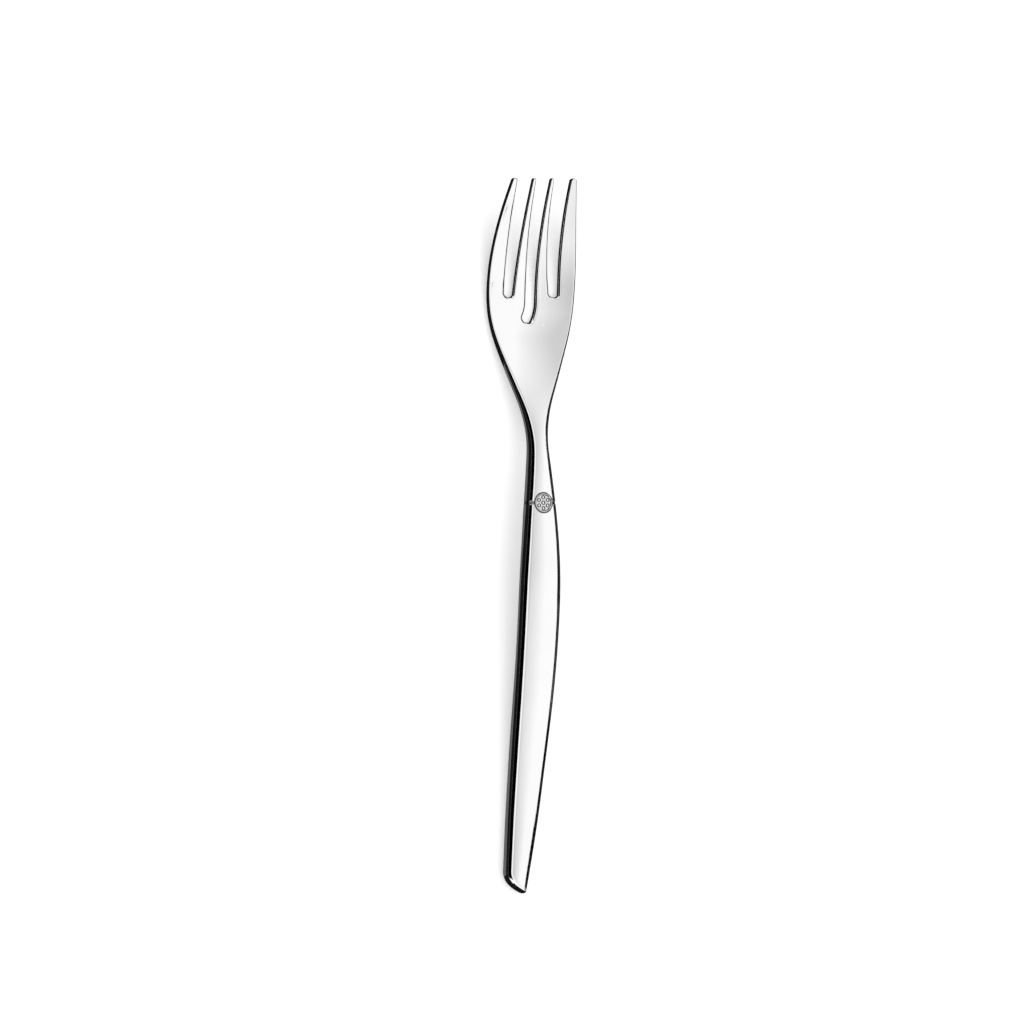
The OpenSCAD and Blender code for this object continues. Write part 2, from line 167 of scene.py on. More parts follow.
class Wire:
    """An output socket that takes part in Python expressions, which become Math nodes."""

    def __init__(self, tree, socket=None):
        self.tree = tree
        self.socket = socket

    def node(self, kind, settings, inputs, output=0):
        """Any other node: its settings first, then the values or links of its sockets."""
        made = self.tree.nodes.new(kind)
        for name, value in settings.items():
            setattr(made, name, value)
        for name, value in inputs.items():
            if isinstance(value, Wire):
                self.tree.links.new(value.socket, made.inputs[name])
            else:
                made.inputs[name].default_value = value
        return Wire(self.tree, made.outputs[output] if len(made.outputs) else None)

    def math(self, operation, a, b):
        """A Math node."""
        return self.node("ShaderNodeMath", {"operation": operation}, {0: a, 1: b})

    def __add__(self, other):
        return self.math("ADD", self, other)

    def __sub__(self, other):
        return self.math("SUBTRACT", self, other)

    def __rsub__(self, other):
        return self.math("SUBTRACT", other, self)

    def __mul__(self, other):
        return self.math("MULTIPLY", self, other)

    def between(self, low, high):
        """This value brought to 0 at low and 1 at high, and held there."""
        limits = {"Value": self, "From Min": low, "From Max": high}
        return self.node("ShaderNodeMapRange", {"clamp": True}, limits)

    def blend(self, a, b):
        """Colour a where this is 0 and colour b where it is 1."""
        sockets = {"Factor": self, 6: a, 7: b}
        return self.node("ShaderNodeMix", {"data_type": "RGBA"}, sockets, 2)

    __radd__ = __add__
    __rmul__ = __mul__


def new_tree(owner):
    """An empty node tree for a material or a world."""
    owner.use_nodes = True
    owner.node_tree.nodes.clear()
    return Wire(owner.node_tree)


def tone(base, level=1.0):
    """A colour at a share of its brightness, as a socket takes it."""
    return tuple(level * c for c in base) + (1,)


def smooth(values, place):
    """A smooth curve over equally spaced values, which starts and ends on the first and last."""
    c = np.asarray(values, float)
    n = len(c) - 1
    c = np.concatenate([[2 * c[0] - c[1]], c, [2 * c[n] - c[n - 1]]])
    s = np.clip(place, 0, n)
    i = np.minimum(np.floor(s).astype(int), n - 1)
    f = s - i
    return (
        (1 - f) ** 3 * c[i]
        + (3 * f**3 - 6 * f**2 + 4) * c[i + 1]
        + (1 + 3 * f + 3 * f**2 - 3 * f**3) * c[i + 2]
        + f**3 * c[i + 3]
    ) / 6


def steps(a, b, n):
    """n even steps from a, which is left out, to b."""
    return [a + (b - a) * i / n for i in range(1, n + 1)]


def unit(v):
    """A direction of length 1."""
    return v / np.hypot(*v)


class ForkForm:
    """The fork's two faces and its outline, in millimetres."""

    # Shares of the named sizes. Those of the side curve run in even steps from the far end to
    # the joint and on to the tips, and those of the outline run both ways from the joint.
    HANDLE_STEPS = 11
    HEAD_STEPS = 9
    ARCH = [-0.014, -0.018, 0, 0.073, 0.193, 0.345, 0.518, 0.7, 0.875, 0.99, 1.005, 0.91]
    THROAT = [0.807, 0.66, 0.443, 0.14, -0.065]
    TOE = [0.036, 0.214, 0.53, 1.007]
    BAR = [0.94, 0.95, 0.975, 1, 1.02, 1.01, 0.975, 0.95, 0.965, 0.99, 1, 1.01, 0.99]
    PALM = [1.51, 1.22, 1]
    TINE = [1.2, 0.95, 0.97, 1.02, 1.08]
    CROWN = [1, 1, 1, 1, 1, 1, 1, 1, 1, 0.93, 0.87, 0.73, 0.67, 0.47, 0.13, 0, 0, 0, 0, 0, 0]
    DISH = [0, 0, 0, 0, 0, 0, 0, 0, 0, 0, 0, 0, 0, 0.05, 0.35, 0.6, 0.6, 0.6, 0.75, 0.9, 1]
    BAR_EDGE = [1, 1, 1, 1, 1, 1, 1, 1, 1, 1, 1, 1, 1, 0.86, 0.68, 0.5]
    TINE_EDGE = [1.27, 1.13, 1.07, 1, 0.93]
    NECK_SIDE = [1.286, 1.133, 0.943, 1.071]
    HEAD_SIDE = [
        0.325, 0.478, 0.621, 0.764, 0.892, 0.97, 1, 0.997, 0.973, 0.926, 0.867, 0.798, 0.719
    ]
    HANDLE_SIDE = [0.888, 0.993, 1, 0.993, 0.966, 0.917, 0.849, 0.787, 0.674, 0.539]
    SWING = [0, 0, 0, 0, 0.03, 0.125, 0.263, 0.4, 0.55, 0.75, 0.988]
    SLOT_PLACE = 0.514
    OUTER_LEAN = math.radians(18)
    TOP_DISH = 1.2
    EDGE_STRETCH = 1.28
    EDGE_LIMIT = 0.45
    # Polishing leaves the edges this much rounder than the solids have them. The mesh would
    # fold at the far end and at the tips, so they stay as they are there.
    BAR_ROUNDING = [1, 1.15, *[1.25] * 7, 1.2, 1.1, 1, 1.1, 1.2, 1.25, 1.3]
    TINE_ROUNDING = [1.4, 1.5, 1.5, 1.4, 0.95]
    # How the slots' places and widths bend between their feet and the tips.
    FOOT_BEND = 1.5
    SPREAD_BEND = 1.8
    MIDDLE_FLARE = 1.5
    # The direction in which the sweep meets the tight corner, and its two handles.
    ARRIVAL = math.radians(-27)
    SWEEP_LEAD = 0.5
    SWEEP_TRAIL = 0.4
    # Rows of the meshes.
    JOINT_ROWS = 8
    JOINT_MARGIN = 0.1
    ROW_LENGTH = 0.45
    FOOT_ROWS = 10
    WEB_ROWS = 10
    TIP_ROWS = 8
    FOOT_CLEARANCE = 3
    BAR_ROWS = 170
    SWEEP_ROWS = 26
    CORNER_ROWS = 10

    def __init__(self, sizes):
        for name in ForkSizes.__annotations__:
            setattr(self, name, getattr(sizes, name) / MM)
        s = self
        s.tip_y = (s.head_length + s.handle_length) / 2
        s.end_y = -s.tip_y
        s.joint_y = s.end_y + s.handle_length

        def scaled(*pairs):
            return np.concatenate([size * np.array(shares) for size, shares in pairs])

        s.underside = scaled(
            (s.arch_height, s.ARCH), (s.arch_height, s.THROAT), (s.tip_height, s.TOE)
        )
        s.thickness = scaled(
            (s.handle_thickness, s.BAR), (s.palm_thickness, s.PALM), (s.tine_thickness, s.TINE)
        )
        rounding = np.array(s.BAR_ROUNDING + s.TINE_ROUNDING)
        s.edging = scaled((s.handle_edge, s.BAR_EDGE), (s.tine_edge, s.TINE_EDGE)) * rounding
        s.crowning = s.crown_height * np.array(s.CROWN)
        s.dishing = s.dish_depth * np.array(s.DISH)
        joint = (s.joint_width, [1])
        neck, head = (s.neck_width, s.NECK_SIDE), (s.head_width, s.HEAD_SIDE)
        s.head_side = scaled(joint, neck, head) / 2
        s.handle_side = scaled(joint, (s.handle_width, s.HANDLE_SIDE)) / 2
        s.handle_middle = -s.end_swing * np.array(s.SWING)
        s.middle_foot_y = s.tip_y - s.outer_slot_length - s.middle_slot_extra
        s.outer_foot_y = s.tip_y - s.outer_slot_length
        s.slot_radius = s.slot_width / 2
        s.root_y = s.outer_foot_y + s.foot_depth
        s.hook_y = s.middle_foot_y + s.foot_depth
        inner_tine_x = s.middle_tip_gap / 2 + s.inner_tip_width
        outer_tine_x = float(s.head_half(s.tip_y)) - s.outer_tip_width
        s.slot_tip_x = (inner_tine_x + outer_tine_x) / 2
        s.slot_tip_half = (outer_tine_x - inner_tine_x) / 2
        s.slot_root_x = s.SLOT_PLACE * float(s.head_half(s.root_y))

    def along(self, table, y):
        """A table's value at y, where the table runs from the far end to the tips."""
        on_handle = self.HANDLE_STEPS * (y - self.end_y) / self.handle_length
        on_head = self.HANDLE_STEPS + self.HEAD_STEPS * (y - self.joint_y) / self.head_length
        return smooth(table, np.where(y < self.joint_y, on_handle, on_head))

    def from_joint(self, table, y):
        """A table's value at y, where the table runs from the joint to the far end."""
        return smooth(table, (len(table) - 1) * (self.joint_y - y) / self.handle_length)

    def head_half(self, y):
        """Half the head's width."""
        last = len(self.head_side) - 1
        return smooth(self.head_side, last * (y - self.joint_y) / self.head_length)

    def half(self, y):
        """Half the width at y."""
        return np.where(y < self.joint_y, self.from_joint(self.handle_side, y), self.head_half(y))

    def middle(self, y):
        """The middle of the width at y."""
        return np.where(y < self.joint_y, self.from_joint(self.handle_middle, y), 0)

    def nick(self, y):
        """1 at the joint line and 0 at the sides of its groove."""
        u = np.minimum(np.abs(y - self.joint_y) / (self.groove_width / 2), 1)
        return (1 + np.cos(math.pi * u)) / 2

    def dish(self, x, y):
        """Rise towards the head's sides."""
        return self.along(self.dishing, y) * (x / (self.head_width / 2)) ** 2

    def fall(self, x, y):
        """Fall of the crown towards the handle's sides."""
        return self.along(self.crowning, y) * ((x - self.middle(y)) / self.half(y)) ** 2

    def under(self, x, y):
        """Height of the lower face."""
        lower = self.along(self.underside, y) + self.dish(x, y) + self.fall(x, y)
        return np.maximum(0, lower) + self.joint_line_depth * self.nick(y)

    def over(self, x, y):
        """Height of the upper face."""
        crest = self.along(self.underside, y) + self.along(self.thickness, y)
        rise = self.TOP_DISH * self.dish(x, y) - self.fall(x, y)
        return crest + rise - self.groove_depth * self.nick(y)

    def crest(self, y):
        """Height of the upper face in its middle, without the groove."""
        return float(self.along(self.underside, y) + self.along(self.thickness, y))

    def slot_x(self, s, y):
        """The middle of slot 0, 1 or 2, counted from the left."""
        left = 1 - self.reach(y)
        shift = self.foot_offset * left**self.FOOT_BEND
        if s == 1:
            return shift - self.foot_hook * self.hook(s, y) ** 2
        run = self.slot_root_x - self.slot_tip_x
        return shift + (s - 1) * (self.slot_tip_x + run * left**self.SPREAD_BEND)

    def reach(self, y):
        """0 up to the outer slots' feet and 1 at the tips."""
        return min(max((y - self.root_y) / (self.tip_y - self.root_y), 0), 1)

    def hook(self, s, y):
        """1 at a slot's foot and 0 where its hook ends."""
        foot_y = self.hook_y if s == 1 else self.root_y
        return max(0, 1 - (y - foot_y) / self.hook_length)

    def slot_half(self, s, y):
        """Half a slot's width."""
        if s == 1:
            flare = self.reach(y) ** self.MIDDLE_FLARE
            return self.slot_radius + (self.middle_tip_gap / 2 - self.slot_radius) * flare
        return self.slot_radius + (self.slot_tip_half - self.slot_radius) * self.reach(y)

    def slot_lean(self, s, y):
        """How far a slot leans over to the right."""
        if s == 1:
            return math.atan(2 * self.foot_hook * self.hook(s, y) / self.hook_length)
        return self.OUTER_LEAN * self.hook(s, y)

    def slot_edge(self, s, side, y):
        """A place on a slot's left, -1, or right side, 1."""
        a = self.slot_lean(s, y)
        across = np.array([math.cos(a), -math.sin(a)])
        return np.array([self.slot_x(s, y), y]) + side * self.slot_half(s, y) * across

    def foot_edge(self, s, side, way):
        """A place on a slot's rounded foot, from its lowest point, 0, to its end on a side, 1."""
        y = self.hook_y if s == 1 else self.root_y
        a = self.slot_lean(s, y)
        lowest = math.atan2(self.slot_radius * math.sin(a), self.foot_depth * math.cos(a))
        turn = lowest + way * (side * math.pi / 2 - lowest)
        across = np.array([math.cos(a), -math.sin(a)])
        along = np.array([math.sin(a), math.cos(a)])
        place = np.array([self.slot_x(s, y), y]) + self.slot_radius * math.sin(turn) * across
        return place - self.foot_depth * math.cos(turn) * along

    def tine_side(self, c, side, y):
        """A place on the left, -1, or right side, 1, of tine 0 to 3, counted from the left."""
        if (c, side) in ((0, -1), (3, 1)):
            return np.array([side * float(self.head_half(y)), y])
        return self.slot_edge(c - 1, 1, y) if side < 0 else self.slot_edge(c, -1, y)

    def head_plan(self):
        """Rails of the four tines, left and right, and the rows where the slots' feet are."""
        foot_rows = self.FOOT_ROWS

        def foot_steps(y):
            return [
                y + self.foot_depth * (1 - math.cos(math.pi / 2 * i / foot_rows))
                for i in range(1, foot_rows + 1)
            ]

        collar = self.joint_y + self.groove_width / 2
        rows = [self.joint_y]
        rows += steps(self.joint_y, collar + self.JOINT_MARGIN, self.JOINT_ROWS)
        # No row lies just before a slot's foot, where the foot's edge would cross it.
        clear = self.FOOT_CLEARANCE * self.tine_edge
        palm_rows = int((self.middle_foot_y - collar) / self.ROW_LENGTH)
        rows += steps(rows[-1], self.middle_foot_y - clear, palm_rows) + [self.middle_foot_y]
        middle_row = len(rows) - 1
        rows += foot_steps(self.middle_foot_y)
        rows += steps(self.hook_y, self.outer_foot_y - clear, self.WEB_ROWS)
        rows.append(self.outer_foot_y)
        outer_row = len(rows) - 1
        rows += foot_steps(self.outer_foot_y)
        root_row = len(rows) - 1
        tine_rows = int((self.tip_y - self.root_y) / self.ROW_LENGTH)

        def place(c, side, j):
            s = c - 1 if side < 0 else c
            outer = s < 0 or s > 2
            foot_row = middle_row if s == 1 else outer_row
            tip_width = self.outer_tip_width if c in (0, 3) else self.inner_tip_width
            tip_start = self.tip_y - tip_width / 2
            if j > root_row + tine_rows:
                a = self.tine_side(c, -1, tip_start)
                b = self.tine_side(c, 1, tip_start)
                turn = math.pi / 2 * (j - root_row - tine_rows) / self.TIP_ROWS
                x = (a[0] + b[0] + side * (b[0] - a[0]) * math.cos(turn)) / 2
                return np.array([x, tip_start + (self.tip_y - tip_start) * math.sin(turn)])
            if j > root_row:
                y = self.root_y + (tip_start - self.root_y) * (j - root_row) / tine_rows
                return self.tine_side(c, side, y)
            y = rows[j]
            if outer or j > foot_row + foot_rows:
                return self.tine_side(c, side, y)
            if j >= foot_row:
                return self.foot_edge(s, -side, (j - foot_row) / foot_rows)
            foot = self.foot_edge(s, 1, 0)
            x = foot[0] * float(self.head_half(y)) / float(self.head_half(foot[1]))
            return np.array([x, y])

        last = root_row + tine_rows + self.TIP_ROWS
        rails = [
            [np.array([place(c, side, j) for j in range(last + 1)]) for side in (-1, 1)]
            for c in range(4)
        ]
        return rails, [outer_row, middle_row, outer_row]

    def handle_side_at(self, side, y):
        """A place on the handle's left, -1, or right side, 1."""
        return np.array([float(self.middle(y)) + side * float(self.half(y)), y])

    def handle_plan(self):
        """Rails of the handle, from the joint to the middle of its tight corner."""
        radius = self.corner_radius
        sweep_y = self.end_y + self.end_sweep
        side_run = self.handle_side_at(1, self.end_y + radius) - self.handle_side_at(1, self.end_y)
        lean = math.atan2(side_run[0], side_run[1])
        corner_start = self.handle_side_at(1, self.end_y + radius * (1 - math.sin(lean)))
        centre = corner_start + radius * np.array([-math.cos(lean), math.sin(lean)])
        corner_middle = (self.ARRIVAL - math.pi / 2 - lean) / 2

        def corner(a):
            return centre + radius * np.array([math.cos(a), math.sin(a)])

        start = self.handle_side_at(-1, sweep_y)
        end = corner(self.ARRIVAL - math.pi / 2)
        lead = unit(start - self.handle_side_at(-1, sweep_y + self.end_sweep))
        arrival = np.array([math.cos(self.ARRIVAL), math.sin(self.ARRIVAL)])
        control = [
            start,
            start + self.SWEEP_LEAD * self.end_sweep * lead,
            end - self.SWEEP_TRAIL * self.end_sweep * arrival,
            end,
        ]

        def bezier(f):
            return sum(
                c * k * (1 - f) ** (3 - i) * f**i
                for i, (c, k) in enumerate(zip(control, (1, 3, 3, 1)))
            )

        cuff = self.joint_y - self.groove_width / 2
        rows = [self.joint_y]
        rows += steps(self.joint_y, cuff - self.JOINT_MARGIN, self.JOINT_ROWS)
        rows += steps(rows[-1], sweep_y, self.BAR_ROWS)
        left = [self.handle_side_at(-1, y) for y in rows]
        left += [bezier(f) for f in steps(0, 1, self.SWEEP_ROWS)]
        rows += steps(sweep_y, corner_start[1], self.SWEEP_ROWS)
        right = [self.handle_side_at(1, y) for y in rows]
        for side, turn in ((right, -lean), (left, self.ARRIVAL - math.pi / 2)):
            side += [corner(a) for a in steps(turn, corner_middle, self.CORNER_ROWS)]
        return [[np.array(right), np.array(left)]], []

    def seat(self, medallion_diameter):
        """The frame on the top face at the joint, leaning with it, from millimetres to metres."""
        reach = medallion_diameter / 2
        rise = self.crest(self.joint_y + reach) - self.crest(self.joint_y - reach)
        lean = math.atan(rise / medallion_diameter)
        place = Matrix.Translation((0, self.joint_y, self.crest(self.joint_y)))
        return Matrix.Scale(MM, 4) @ place @ Matrix.Rotation(lean, 4, "X")

    def tang_middle(self):
        """Height of the tang's middle."""
        return (float(self.over(0, self.joint_y)) + float(self.under(0, self.joint_y))) / 2


def plate(form, rails, feet, cells, edge_steps):
    """Points and faces of a closed body between the two faces, with rounded edges all round.
    rails holds the left and right side of each column, and feet the row where each gap between
    two columns begins."""
    columns = len(rails)
    last = len(rails[0][0]) - 1
    first = [0, *feet]
    outline = []
    starts = []
    for c in range(columns):
        starts.append(len(outline))
        outline += [rails[c][0][j] for j in range(first[c] if c == 0 else first[c] + 1, last + 1)]
        low = 0 if c + 1 == columns else first[c + 1]
        outline += [rails[c][1][j] for j in range(last - 1, low - 1, -1)]
    starts = [s if c == 0 else s - 1 for c, s in enumerate(starts)]
    count = len(outline)
    p = np.array(outline)
    run = np.diff(p, axis=0)
    run /= np.linalg.norm(run, axis=1)[:, None]
    inward = np.column_stack([run[:, 1], -run[:, 0]])
    normal = np.zeros_like(p)
    normal[1:-1] = inward[:-1] + inward[1:]
    normal[1:-1] /= np.linalg.norm(normal[1:-1], axis=1)[:, None]
    normal[0] = [np.sign(p[-1, 0] - p[0, 0]), 0]
    normal[-1] = -normal[0]

    radius = form.along(form.edging, p[:, 1])
    side_height = form.over(p[:, 0], p[:, 1]) - form.under(p[:, 0], p[:, 1])
    rise = np.minimum(form.EDGE_STRETCH * radius, form.EDGE_LIMIT * side_height)
    nick = form.nick(p[:, 1])
    ring = 2 * edge_steps + 2
    rims = np.zeros((count, ring, 3))
    for k in range(ring):
        upper = k <= edge_steps
        turn = math.pi / 2 * (edge_steps - k if upper else k - edge_steps - 1) / edge_steps
        extra = (form.groove_depth - form.joint_line_depth) * (math.sin(turn) ** 2 if upper else 0)
        cut = (form.joint_line_depth + extra) * nick
        q = p + normal * (radius * (1 - math.cos(turn)) + cut)[:, None]
        drop = rise * (1 - math.sin(turn))
        if upper:
            drop = drop + cut - form.groove_depth * nick
        rims[:, k, :2] = q
        over, under = form.over(q[:, 0], q[:, 1]), form.under(q[:, 0], q[:, 1])
        rims[:, k, 2] = over - drop if upper else under + drop

    def left(c, j):
        return starts[c] + j - first[c]

    def right(c, j):
        return starts[c] + 2 * last - first[c] - j

    def on_outline(c, side, j):
        if side == 0:
            return j >= first[c]
        return c + 1 == columns or j >= first[c + 1]

    def edge_of(c, side, j):
        if not on_outline(c, side, j):
            return rails[c][side][j]
        return rims[left(c, j) if side == 0 else right(c, j)][0][:2]

    inner = []
    for c in range(columns):
        for j in range(last):
            a, b = edge_of(c, 0, j), edge_of(c, 1, j)
            inner += [a + (b - a) * m / cells for m in range(1, cells)]
    seams = [rails[c][0][j] for c in range(1, columns) for j in range(first[c])]
    seam_starts = [0]
    for c in range(columns - 1):
        seam_starts.append(seam_starts[-1] + first[c])

    flat = np.array(inner + seams)
    faces_xy = np.repeat(flat, 2, axis=0)
    z = np.empty(len(faces_xy))
    z[0::2] = form.over(flat[:, 0], flat[:, 1])
    z[1::2] = form.under(flat[:, 0], flat[:, 1])
    joint = form.joint_y
    hub_z = (float(form.over(0, joint)) + float(form.under(0, joint))) / 2
    points = np.vstack([rims.reshape(-1, 3), np.column_stack([faces_xy, z]), [[0, joint, hub_z]]])

    inner_base = count * ring
    seam_base = inner_base + 2 * len(inner)

    def rim_index(i, s):
        return i * ring + s * (ring - 1)

    def at(c, j, m, s):
        if j == last:
            return rim_index(left(c, j), s)
        if m == 0:
            if j >= first[c]:
                return rim_index(left(c, j), s)
            return seam_base + (seam_starts[c] + j) * 2 + s
        if m == cells:
            if on_outline(c, 1, j):
                return rim_index(right(c, j), s)
            return seam_base + (seam_starts[c + 1] + j) * 2 + s
        return inner_base + ((c * last + j) * (cells - 1) + m - 1) * 2 + s

    faces = []
    for c in range(columns):
        for j in range(last):
            for m in range(cells):
                for s in (0, 1):
                    places = ((j, m), (j, m + 1), (j + 1, m + 1), (j + 1, m))
                    quad = [at(c, row, cell, s) for row, cell in places]
                    if quad[2] == quad[3]:
                        quad.pop()
                    faces.append(quad if s == 0 else quad[::-1])
    for i in range(count - 1):
        for k in range(ring - 1):
            a = i * ring + k
            faces.append([a, a + ring, a + ring + 1, a + 1])
    mouth = [at(c, 0, m, 0) for c in range(columns) for m in range(cells)]
    mouth += [(count - 1) * ring + k for k in range(ring - 1)]
    mouth += [at(c, 0, m, 1) for c in range(columns - 1, -1, -1) for m in range(cells, 0, -1)]
    mouth += list(range(ring - 1, 0, -1))
    hub = len(points) - 1
    for i, a in enumerate(mouth):
        faces.append([hub, mouth[(i + 1) % len(mouth)], a])
    return points * MM, faces


def solid(name, points, faces, smooth_faces=True):
    """An object from points in metres and faces."""
    mesh = bpy.data.meshes.new(name)
    mesh.from_pydata([tuple(p) for p in points], [], [tuple(f) for f in faces])
    mesh.validate()
    made = bpy.data.objects.new(name, mesh)
    bpy.context.scene.collection.objects.link(made)
    bm = bmesh.new()
    bm.from_mesh(mesh)
    bmesh.ops.recalc_face_normals(bm, faces=bm.faces)
    bm.to_mesh(mesh)
    bm.free()
    mesh.shade_smooth() if smooth_faces else mesh.shade_flat()
    return made


def lathe(profile, segments, place, height=None):
    """Points and faces of a turned body. The profile runs from the axis below to the axis on
    top, and height(x, y), where given, is added to what lies on top."""
    points, faces = [], []
    for r, z, lifted in profile[1:-1]:
        for i in range(segments):
            a = 2 * math.pi * i / segments
            x, y = r * math.cos(a), r * math.sin(a)
            points.append(place @ Vector((x, y, z + (height(x, y) if lifted and height else 0))))
    for j in range(len(profile) - 3):
        for i in range(segments):
            k = (i + 1) % segments
            a, b = j * segments, (j + 1) * segments
            faces.append([a + i, a + k, b + k, b + i])
    low, high = len(points), len(points) + 1
    points.append(place @ Vector((0, 0, profile[0][1])))
    top = profile[-1]
    points.append(place @ Vector((0, 0, top[1] + (height(0, 0) if top[2] and height else 0))))
    base = (len(profile) - 3) * segments
    for i in range(segments):
        k = (i + 1) % segments
        faces.append([low, k, i])
        faces.append([high, base + i, base + k])
    return points, faces


def combine(body, tool, operation):
    """body joined with tool or cut by it. The tool is used up."""
    modifier = body.modifiers.new("combine", "BOOLEAN")
    modifier.operation = operation
    modifier.solver = "EXACT"
    modifier.object = tool
    bpy.context.view_layer.update()
    shown = body.evaluated_get(bpy.context.evaluated_depsgraph_get())
    mesh = bpy.data.meshes.new_from_object(shown)
    body.modifiers.clear()
    old = body.data
    body.data = mesh
    mesh.name = old.name
    bpy.data.meshes.remove(old)
    bpy.data.objects.remove(tool)
    if not len(mesh.polygons):
        raise RuntimeError(f"nothing is left of {body.name}")


def tang_tool(form, grow):
    """A flat tang with a half-round end, joined to the head or cut from the handle."""
    overrun, turn_steps = 0.4, 24
    w = form.tang_width + 2 * grow
    h = form.tang_height + 2 * grow
    z = form.tang_middle()
    straight = form.tang_length - form.tang_width / 2
    y_end = form.joint_y - straight
    plan = [(w / 2, form.joint_y + overrun), (-w / 2, form.joint_y + overrun)]
    for i in range(turn_steps + 1):
        a = math.pi + math.pi * i / turn_steps
        plan.append((w / 2 * math.cos(a), y_end + w / 2 * math.sin(a)))
    n = len(plan)
    points = [(x * MM, y * MM, (z + d) * MM) for d in (-h / 2, h / 2) for x, y in plan]
    faces = [list(range(n))[::-1], list(range(n, 2 * n))]
    faces += [[i, (i + 1) % n, n + (i + 1) % n, n + i] for i in range(n)]
    return solid("tang_tool", points, faces, False)


def seat_tool(form, medal):
    """The counterbore for the medallion, with its bevelled mouth."""
    overrun, segments = 0.2 * MM, 128
    radius = medal.diameter / 2 + medal.clearance
    bevel = medal.bevel
    places = [
        (0, -medal.height),
        (radius, -medal.height),
        (radius, -bevel),
        (radius + bevel, 0),
        (radius + bevel + overrun, overrun),
        (0, overrun),
    ]
    profile = [(r / MM, z / MM, False) for r, z in places]
    points, faces = lathe(profile, segments, form.seat(medal.diameter / MM))
    return solid("seat_tool", points, faces, False)


def crisp(piece, degrees):
    """Edges sharper than this show as edges."""
    piece.data.set_sharp_from_angle(angle=math.radians(degrees))


def finish_piece(piece, node, material):
    """Gives a piece its material and its place in the frame."""
    piece.data.materials.clear()
    piece.data.materials.append(material)
    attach(piece, "root")
    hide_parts(node)


def new_material(name):
    """A material, its node tree and each place on the object."""
    material = bpy.data.materials.new(name)
    tree = new_tree(material)
    return material, tree, tree.node("ShaderNodeTexCoord", {}, {}, "Object")


def metal(tree, shade, roughness, inputs):
    """Ends a material's tree in bare metal."""
    inputs = {"Base Color": shade, "Metallic": 1.0, "Roughness": roughness, **inputs}
    surface = tree.node("ShaderNodeBsdfPrincipled", {}, inputs)
    tree.node("ShaderNodeOutputMaterial", {}, {"Surface": surface})


def light(tree, shade):
    """Ends a material's tree in light of this colour."""
    surface = tree.node("ShaderNodeEmission", {}, {"Color": shade, "Strength": 1.0})
    tree.node("ShaderNodeOutputMaterial", {}, {"Surface": surface})


def polished_steel(name, finish, joint_y):
    """Mirror-polished steel with faint haze and streaks along the fork, and painted shade along
    the joint line.
    """
    haze_scale, lane_scale = 90.0, (2600.0, 120.0, 2600.0)
    # The second grey is that of the painted shade along the joint line.
    hazy, joint_shade = 0.965, 0.2
    streak_depth, streak_share = 0.2 * MM, 0.4
    joint_shade_to, bright_from = 0.06 * MM, 0.5 * MM
    material, tree, place = new_material(name)
    haze = tree.node(
        "ShaderNodeTexNoise", {}, {"Vector": place, "Scale": haze_scale, "Detail": 3.0}
    )
    lanes = tree.node("ShaderNodeMapping", {}, {"Vector": place, "Scale": lane_scale})
    streaks = tree.node("ShaderNodeTexNoise", {}, {"Vector": lanes, "Scale": 1.0, "Detail": 2.0})
    depth = {"Height": streaks, "Strength": finish.streaks, "Distance": streak_depth}
    bump = tree.node("ShaderNodeBump", {}, depth)
    polished = haze.between(0.3, 0.7).blend(tone(finish.steel, hazy), tone(finish.steel))
    # Painted shade: the steel darkens towards the joint line, standing for the shade in its
    # groove.
    off = tree.node("ShaderNodeSeparateXYZ", {}, {"Vector": place}, "Y") - joint_y
    unshaded = off.math("ABSOLUTE", off, 0.0).between(joint_shade_to, bright_from)
    shade = unshaded.blend(tone(finish.steel, joint_shade), polished)
    roughness = haze.between(0.25, 0.75) * finish.haze + finish.polish
    roughness = roughness + streaks * finish.haze * streak_share
    metal(tree, shade, roughness, {"Normal": bump})
    return material


def coined_steel(name, finish, medal, seat):
    """The medallion: polished petals and rim over a pale satin field, with painted shade at the
    feet of the petals and a painted shade line where it meets its seat."""
    # Grey of the painted shade, and how far the painted shade line round the seat darkens.
    black, seat_shade_share = 0.03, 0.85
    grain_scale, grain_strength, grain_depth = 9000.0, 0.15, 0.02 * MM
    material, tree, place = new_material(name)
    up = (seat.to_3x3() @ Vector((0, 0, 1))).normalized()
    field = up.dot(seat.translation) - medal.field_depth

    def measure(operation, other):
        inputs = {0: place, 1: tuple(other)}
        return tree.node("ShaderNodeVectorMath", {"operation": operation}, inputs, "Value")

    level = measure("DOT_PRODUCT", up)
    away = measure("DISTANCE", seat.translation)

    def risen(low, high):
        """0 up to one share of the petals' height and 1 from the other on."""
        return level.between(field + low * medal.petal_height, field + high * medal.petal_height)

    def outward(low, high):
        """The same for shares of the bevel, counted inwards from the outside."""
        radius = medal.diameter / 2
        return away.between(radius - low * medal.bevel, radius - high * medal.bevel)

    polished = risen(0.05, 0.65)
    # Painted shade: a dark ring where each petal and the rim's inner wall rise from the field.
    feet = risen(0.05, 0.15) * (1 - risen(0.6, 0.8))
    dark = tone(finish.steel, black)
    # Painted shade: a dark line on the outer bevel, where the medallion meets its seat.
    bright = (outward(1.2, 0.6) * seat_shade_share).blend(tone(finish.steel), dark)
    shade = feet.blend(polished.blend(tone(finish.recess), bright), dark)
    grain = tree.node(
        "ShaderNodeTexNoise", {}, {"Vector": place, "Scale": grain_scale, "Detail": 2.0}
    )
    roughness = polished * (finish.polish - finish.satin) + finish.satin + grain * finish.haze
    depth = {"Height": grain, "Strength": grain_strength, "Distance": grain_depth}
    metal(tree, shade, roughness, {"Normal": tree.node("ShaderNodeBump", {}, depth)})
    return material


